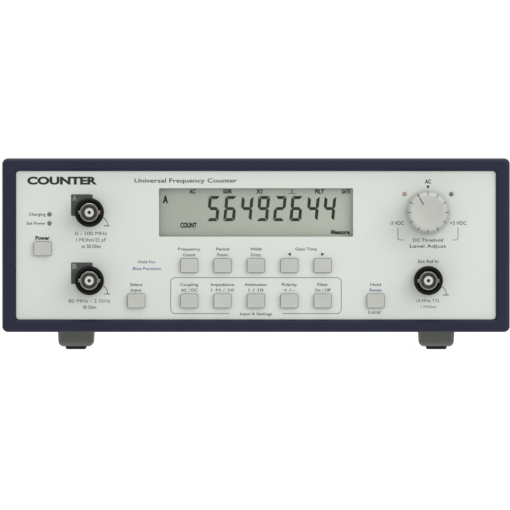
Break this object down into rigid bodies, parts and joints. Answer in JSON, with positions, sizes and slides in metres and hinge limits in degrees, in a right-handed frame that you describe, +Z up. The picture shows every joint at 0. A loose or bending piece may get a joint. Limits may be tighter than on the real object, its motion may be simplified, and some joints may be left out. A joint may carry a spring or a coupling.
{
  "type": "frequency counter",
  "caption": "Bench frequency counter with a segment display, coaxial input sockets, push keys, a rotary threshold control, a folded metal case and feet with folding tilt legs.",
  "frame": {"origin": "on the bench, midway along the whole object's width and depth", "axes": "+Z up; the control panel faces -Y; +X to the right as seen from the panel's side"},
  "size_m": [0.26, 0.249, 0.098],
  "materials": {
    "case_paint": "fine-textured navy paint",
    "bezel_plastic": "moulded navy, fine spark texture",
    "panel_plastic": "moulded light grey",
    "film": "screen-printed matt film",
    "window": "clear moulded pane",
    "cell_glass": "liquid crystal cell",
    "white_plastic": "moulded white",
    "strip_rubber": "layered elastomer",
    "circuit_board": "solder-masked laminate",
    "black_plastic": "moulded black",
    "lamp_resin": "tinted clear resin",
    "plated_steel": "bright zinc plate",
    "nickel": "satin nickel plate",
    "insulator": "white low-loss polymer",
    "gold": "gold flash",
    "key_plastic": "moulded warm grey",
    "knob_plastic": "moulded warm grey",
    "foot_plastic": "moulded dark grey",
    "pad_rubber": "moulded black",
    "tinned_can": "tinned steel",
    "sleeve_plastic": "shrink sleeve",
    "header_plastic": "moulded ivory",
    "ribbon": "grey ribbon",
    "lead_jacket": "brown jacket"
  },
  "bodies": {
    "case": {"battery_cells": "sleeve_plastic", "battery_tray": "black_plastic", "board_components": "black_plastic", "board_headers": "header_plastic", "board_screws": "plated_steel", "board_standoffs": "plated_steel", "bottom_chassis": "plated_steel", "case_screws": "plated_steel", "contact_strips": "strip_rubber", "crystal_oscillator": "tinned_can", "dc_pin": "nickel", "dc_socket": "black_plastic", "display_board": "circuit_board", "display_glass": "cell_glass", "display_holder": "white_plastic", "display_window": "window", "feet": "foot_plastic", "foot_pads": "pad_rubber", "foot_screws": "plated_steel", "front_bezel": "bezel_plastic", "front_panel": "panel_plastic", "indicator_lamps": "lamp_resin", "input_a_shell": "nickel", "input_b_shell": "nickel", "input_shield": "tinned_can", "internal_leads": "lead_jacket", "key_switches": "black_plastic", "main_board": "circuit_board", "panel_film": "film", "panel_screws": "plated_steel", "rear_panel": "case_paint", "reference_shell": "nickel", "ribbon_cable": "ribbon", "socket_collars": "black_plastic", "socket_contacts": "gold", "socket_dielectrics": "insulator", "socket_nuts": "nickel", "supply_components": "sleeve_plastic", "threshold_pot": "plated_steel", "tilt_leg_pins": "plated_steel", "top_cover": "case_paint", "usb_shell": "nickel", "usb_tongue": "insulator"},
    "power_key": {"power_key": "key_plastic"},
    "select_input_key": {"select_input_key": "key_plastic"},
    "frequency_key": {"frequency_key": "key_plastic"},
    "period_key": {"period_key": "key_plastic"},
    "width_key": {"width_key": "key_plastic"},
    "gate_shorter_key": {"gate_shorter_key": "key_plastic"},
    "gate_longer_key": {"gate_longer_key": "key_plastic"},
    "coupling_key": {"coupling_key": "key_plastic"},
    "impedance_key": {"impedance_key": "key_plastic"},
    "attenuator_key": {"attenuator_key": "key_plastic"},
    "polarity_key": {"polarity_key": "key_plastic"},
    "filter_key": {"filter_key": "key_plastic"},
    "hold_key": {"hold_key": "key_plastic"},
    "threshold_control": {"threshold_knob": "knob_plastic", "threshold_shaft": "plated_steel"},
    "tilt_leg_left": {"tilt_leg_left": "foot_plastic"},
    "tilt_leg_right": {"tilt_leg_right": "foot_plastic"}
  },
  "joints": [
    {"name": "power_key_press", "type": "slide", "parent": "case", "child": "power_key", "axis": [0, 1, 0], "range_m": [0, 0.0005], "stiffness_N_per_m": 1500, "springref_m": -0.0004},
    {"name": "select_input_key_press", "type": "slide", "parent": "case", "child": "select_input_key", "axis": [0, 1, 0], "range_m": [0, 0.0005], "stiffness_N_per_m": 1500, "springref_m": -0.0004},
    {"name": "frequency_key_press", "type": "slide", "parent": "case", "child": "frequency_key", "axis": [0, 1, 0], "range_m": [0, 0.0005], "stiffness_N_per_m": 1500, "springref_m": -0.0004},
    {"name": "period_key_press", "type": "slide", "parent": "case", "child": "period_key", "axis": [0, 1, 0], "range_m": [0, 0.0005], "stiffness_N_per_m": 1500, "springref_m": -0.0004},
    {"name": "width_key_press", "type": "slide", "parent": "case", "child": "width_key", "axis": [0, 1, 0], "range_m": [0, 0.0005], "stiffness_N_per_m": 1500, "springref_m": -0.0004},
    {"name": "gate_shorter_key_press", "type": "slide", "parent": "case", "child": "gate_shorter_key", "axis": [0, 1, 0], "range_m": [0, 0.0005], "stiffness_N_per_m": 1500, "springref_m": -0.0004},
    {"name": "gate_longer_key_press", "type": "slide", "parent": "case", "child": "gate_longer_key", "axis": [0, 1, 0], "range_m": [0, 0.0005], "stiffness_N_per_m": 1500, "springref_m": -0.0004},
    {"name": "coupling_key_press", "type": "slide", "parent": "case", "child": "coupling_key", "axis": [0, 1, 0], "range_m": [0, 0.0005], "stiffness_N_per_m": 1500, "springref_m": -0.0004},
    {"name": "impedance_key_press", "type": "slide", "parent": "case", "child": "impedance_key", "axis": [0, 1, 0], "range_m": [0, 0.0005], "stiffness_N_per_m": 1500, "springref_m": -0.0004},
    {"name": "attenuator_key_press", "type": "slide", "parent": "case", "child": "attenuator_key", "axis": [0, 1, 0], "range_m": [0, 0.0005], "stiffness_N_per_m": 1500, "springref_m": -0.0004},
    {"name": "polarity_key_press", "type": "slide", "parent": "case", "child": "polarity_key", "axis": [0, 1, 0], "range_m": [0, 0.0005], "stiffness_N_per_m": 1500, "springref_m": -0.0004},
    {"name": "filter_key_press", "type": "slide", "parent": "case", "child": "filter_key", "axis": [0, 1, 0], "range_m": [0, 0.0005], "stiffness_N_per_m": 1500, "springref_m": -0.0004},
    {"name": "hold_key_press", "type": "slide", "parent": "case", "child": "hold_key", "axis": [0, 1, 0], "range_m": [0, 0.0005], "stiffness_N_per_m": 1500, "springref_m": -0.0004},
    {"name": "threshold_turn", "type": "hinge", "parent": "case", "child": "threshold_control", "pos_m": [0.0881, -0.1102, 0.0703], "axis": [0, 1, 0], "range_deg": [-120, 180]},
    {"name": "tilt_left_fold", "type": "hinge", "parent": "case", "child": "tilt_leg_left", "pos_m": [-0.0925, -0.0642, 0.0044], "axis": [-1, 0, 0], "range_deg": [0, 100]},
    {"name": "tilt_right_fold", "type": "hinge", "parent": "case", "child": "tilt_leg_right", "pos_m": [0.0925, -0.0642, 0.0044], "axis": [-1, 0, 0], "range_deg": [0, 100]}
  ]
}
